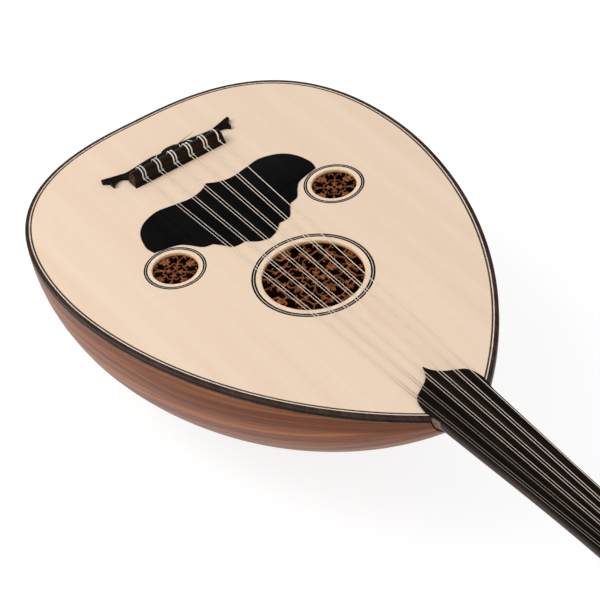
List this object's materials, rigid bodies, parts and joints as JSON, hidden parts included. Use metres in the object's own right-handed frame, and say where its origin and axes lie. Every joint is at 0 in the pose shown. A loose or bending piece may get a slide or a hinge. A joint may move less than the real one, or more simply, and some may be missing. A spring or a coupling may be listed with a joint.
{
  "type": "turkish oud",
  "caption": "Bowl-backed short-neck fretless lute with a pear-shaped spruce top, pierced rosettes, a bent-back pegbox and turning pegs.",
  "frame": {"origin": "bottom centre of the bounding box of the instrument lying on its back", "axes": "+Y from the tail to the head, +Z out of the soundboard, +X to the treble side"},
  "size_m": [0.3514, 0.8348, 0.1724],
  "materials": {
    "bowl_rib_01": "satin lacquer",
    "bowl_rib_02": "satin lacquer",
    "bowl_rib_03": "satin lacquer",
    "bowl_rib_04": "satin lacquer",
    "bowl_rib_05": "satin lacquer",
    "bowl_rib_06": "satin lacquer",
    "bowl_rib_07": "satin lacquer",
    "bowl_rib_08": "satin lacquer",
    "bowl_rib_09": "satin lacquer",
    "bowl_rib_10": "satin lacquer",
    "bowl_rib_11": "satin lacquer",
    "bowl_rib_12": "satin lacquer",
    "bowl_rib_13": "satin lacquer",
    "brace_1": "satin",
    "brace_2": "satin",
    "brace_3": "satin",
    "brace_4": "satin",
    "brace_5": "satin",
    "brace_6": "satin",
    "bridge": "satin",
    "edge_binding": "satin lacquer",
    "fingerboard": "satin",
    "neck": "satin lacquer",
    "neck_block": "satin lacquer",
    "nut": "bone, satin",
    "peg_01": "satin",
    "peg_02": "satin",
    "peg_03": "satin",
    "peg_04": "satin",
    "peg_05": "satin",
    "peg_06": "satin",
    "peg_07": "satin",
    "peg_08": "satin",
    "peg_09": "satin",
    "peg_10": "satin",
    "peg_11": "satin",
    "pegbox_back": "satin lacquer",
    "pegbox_cheek_bass": "satin lacquer",
    "pegbox_cheek_treble": "satin lacquer",
    "pegbox_end_block": "satin lacquer",
    "pickguard": "satin",
    "rosette_bass": "satin",
    "rosette_main": "satin",
    "rosette_treble": "satin",
    "soundboard": "satin",
    "string_01": "wound metal over silk",
    "string_02": "wound metal over silk",
    "string_03": "wound metal over silk",
    "string_04": "wound metal over silk",
    "string_05": "wound metal over silk",
    "string_06": "wound metal over silk",
    "string_07": "wound metal over silk",
    "string_08": "clear nylon",
    "string_09": "clear nylon",
    "string_10": "clear nylon",
    "string_11": "clear nylon",
    "tail_block": "satin",
    "tail_clasp": "satin"
  },
  "bodies": {
    "instrument": {"bowl_rib_01": "bowl_rib_01", "bowl_rib_02": "bowl_rib_02", "bowl_rib_03": "bowl_rib_03", "bowl_rib_04": "bowl_rib_04", "bowl_rib_05": "bowl_rib_05", "bowl_rib_06": "bowl_rib_06", "bowl_rib_07": "bowl_rib_07", "bowl_rib_08": "bowl_rib_08", "bowl_rib_09": "bowl_rib_09", "bowl_rib_10": "bowl_rib_10", "bowl_rib_11": "bowl_rib_11", "bowl_rib_12": "bowl_rib_12", "bowl_rib_13": "bowl_rib_13", "brace_1": "brace_1", "brace_2": "brace_2", "brace_3": "brace_3", "brace_4": "brace_4", "brace_5": "brace_5", "brace_6": "brace_6", "bridge": "bridge", "edge_binding": "edge_binding", "fingerboard": "fingerboard", "neck": "neck", "neck_block": "neck_block", "nut": "nut", "pegbox_back": "pegbox_back", "pegbox_cheek_bass": "pegbox_cheek_bass", "pegbox_cheek_treble": "pegbox_cheek_treble", "pegbox_end_block": "pegbox_end_block", "pickguard": "pickguard", "rosette_bass": "rosette_bass", "rosette_main": "rosette_main", "rosette_treble": "rosette_treble", "soundboard": "soundboard", "string_01": "string_01", "string_02": "string_02", "string_03": "string_03", "string_04": "string_04", "string_05": "string_05", "string_06": "string_06", "string_07": "string_07", "string_08": "string_08", "string_09": "string_09", "string_10": "string_10", "string_11": "string_11", "tail_block": "tail_block", "tail_clasp": "tail_clasp"},
    "peg_01": {"peg_01": "peg_01"},
    "peg_02": {"peg_02": "peg_02"},
    "peg_03": {"peg_03": "peg_03"},
    "peg_04": {"peg_04": "peg_04"},
    "peg_05": {"peg_05": "peg_05"},
    "peg_06": {"peg_06": "peg_06"},
    "peg_07": {"peg_07": "peg_07"},
    "peg_08": {"peg_08": "peg_08"},
    "peg_09": {"peg_09": "peg_09"},
    "peg_10": {"peg_10": "peg_10"},
    "peg_11": {"peg_11": "peg_11"}
  },
  "joints": [
    {"name": "peg_01_turn", "type": "hinge", "parent": "instrument", "child": "peg_01", "pos_m": [0, 0.27594, 0.13452], "axis": [1, 0, 0], "continuous": true},
    {"name": "peg_02_turn", "type": "hinge", "parent": "instrument", "child": "peg_02", "pos_m": [0, 0.28613, 0.12282], "axis": [-1, 0, 0], "continuous": true},
    {"name": "peg_03_turn", "type": "hinge", "parent": "instrument", "child": "peg_03", "pos_m": [0, 0.29769, 0.11265], "axis": [1, 0, 0], "continuous": true},
    {"name": "peg_04_turn", "type": "hinge", "parent": "instrument", "child": "peg_04", "pos_m": [0, 0.30931, 0.10253], "axis": [-1, 0, 0], "continuous": true},
    {"name": "peg_05_turn", "type": "hinge", "parent": "instrument", "child": "peg_05", "pos_m": [0, 0.32092, 0.09241], "axis": [1, 0, 0], "continuous": true},
    {"name": "peg_06_turn", "type": "hinge", "parent": "instrument", "child": "peg_06", "pos_m": [0, 0.33253, 0.08229], "axis": [-1, 0, 0], "continuous": true},
    {"name": "peg_07_turn", "type": "hinge", "parent": "instrument", "child": "peg_07", "pos_m": [0, 0.34414, 0.07217], "axis": [1, 0, 0], "continuous": true},
    {"name": "peg_08_turn", "type": "hinge", "parent": "instrument", "child": "peg_08", "pos_m": [0, 0.35575, 0.06205], "axis": [-1, 0, 0], "continuous": true},
    {"name": "peg_09_turn", "type": "hinge", "parent": "instrument", "child": "peg_09", "pos_m": [0, 0.36736, 0.05193], "axis": [1, 0, 0], "continuous": true},
    {"name": "peg_10_turn", "type": "hinge", "parent": "instrument", "child": "peg_10", "pos_m": [0, 0.37897, 0.04181], "axis": [-1, 0, 0], "continuous": true},
    {"name": "peg_11_turn", "type": "hinge", "parent": "instrument", "child": "peg_11", "pos_m": [0, 0.39059, 0.0317], "axis": [1, 0, 0], "continuous": true}
  ]
}
